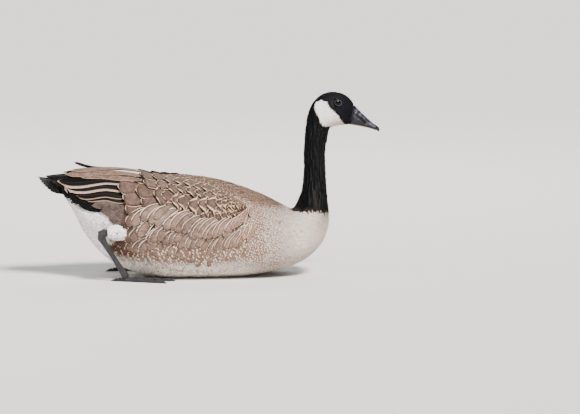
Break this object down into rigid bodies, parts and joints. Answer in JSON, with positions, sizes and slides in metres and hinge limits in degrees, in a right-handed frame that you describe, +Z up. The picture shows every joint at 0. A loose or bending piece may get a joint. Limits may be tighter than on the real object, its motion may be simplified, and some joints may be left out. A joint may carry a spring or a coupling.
{
  "type": "canada goose",
  "caption": "Life-size still goose resting on its belly, feet tucked under, long neck upright, wings folded over the back and a short cocked tail.",
  "frame": {"origin": "on the floor, below the middle of the bird's length and width", "axes": "+Z up, +X towards the bill, +Y to the bird's left"},
  "size_m": [0.6015, 0.2118, 0.3212],
  "materials": {
    "brown_feathers": "soft feathers, greyish brown with pale buff edges",
    "pale_feathers": "soft feathers, pale buff breast and brown barred flanks",
    "black_feathers": "dense black feathers with a silky sheen",
    "white_feathers": "soft white feathers",
    "bill_horn": "smooth black horn with a low sheen",
    "leg_skin": "dark grey scaly skin",
    "eye": "wet and glossy, very dark brown"
  },
  "bodies": {
    "root": {"bill_lower": "bill_horn", "bill_upper": "bill_horn", "eye_left": "eye", "eye_right": "eye", "foot_left": "leg_skin", "foot_right": "leg_skin", "head": "black_feathers", "neck": "black_feathers", "shank_left": "leg_skin", "shank_right": "leg_skin", "tail": "black_feathers", "thigh_left": "white_feathers", "thigh_right": "white_feathers", "torso": "pale_feathers", "wing_left": "brown_feathers", "wing_right": "brown_feathers"}
  },
  "joints": []
}
